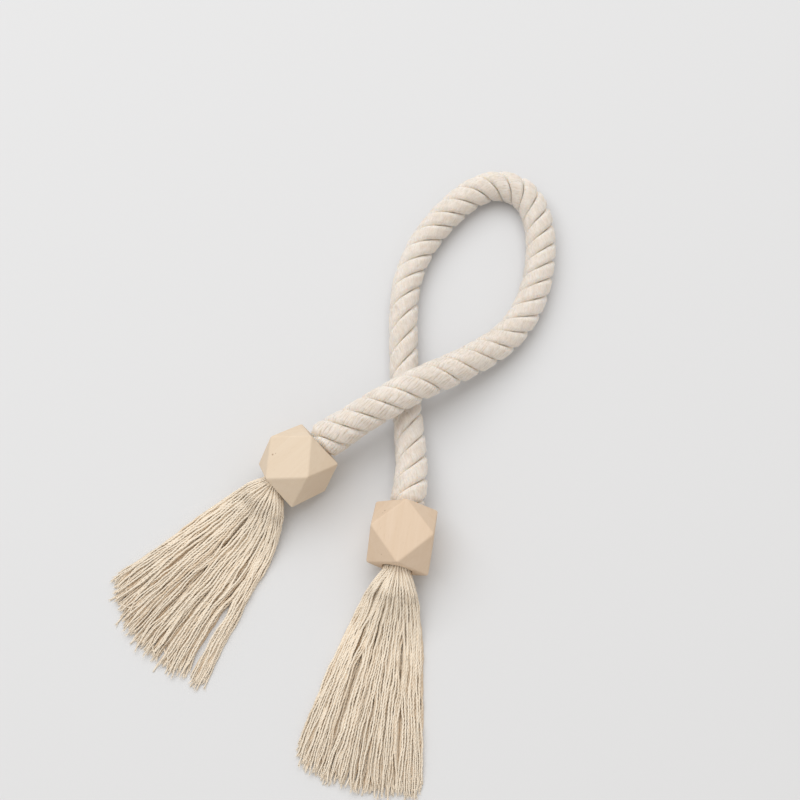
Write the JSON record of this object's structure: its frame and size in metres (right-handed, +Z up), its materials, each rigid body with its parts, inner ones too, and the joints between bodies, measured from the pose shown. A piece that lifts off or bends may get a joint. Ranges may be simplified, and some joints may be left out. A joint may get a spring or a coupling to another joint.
{
  "type": "curtain tieback tassel",
  "caption": "Short twisted cotton rope lying in a crossed loop, with a faceted wooden bead and a cotton tassel at each end, for tying back a curtain.",
  "frame": {"origin": "on the surface that the tieback lies on, under the middle of its bounding box", "axes": "+Y from the tassels to the top of the loop, +X to the right seen from above, +Z up from the surface"},
  "size_m": [0.1873, 0.273, 0.0284],
  "materials": {
    "cotton_rope": "matte natural cotton",
    "cotton_tassel": "matte natural cotton yarn",
    "bead_wood": "sanded bare pale wood"
  },
  "bodies": {
    "root": {"rope": "cotton_rope", "bead_right": "bead_wood", "bead_left": "bead_wood", "tassel_right": "cotton_tassel", "tassel_left": "cotton_tassel"}
  },
  "joints": []
}
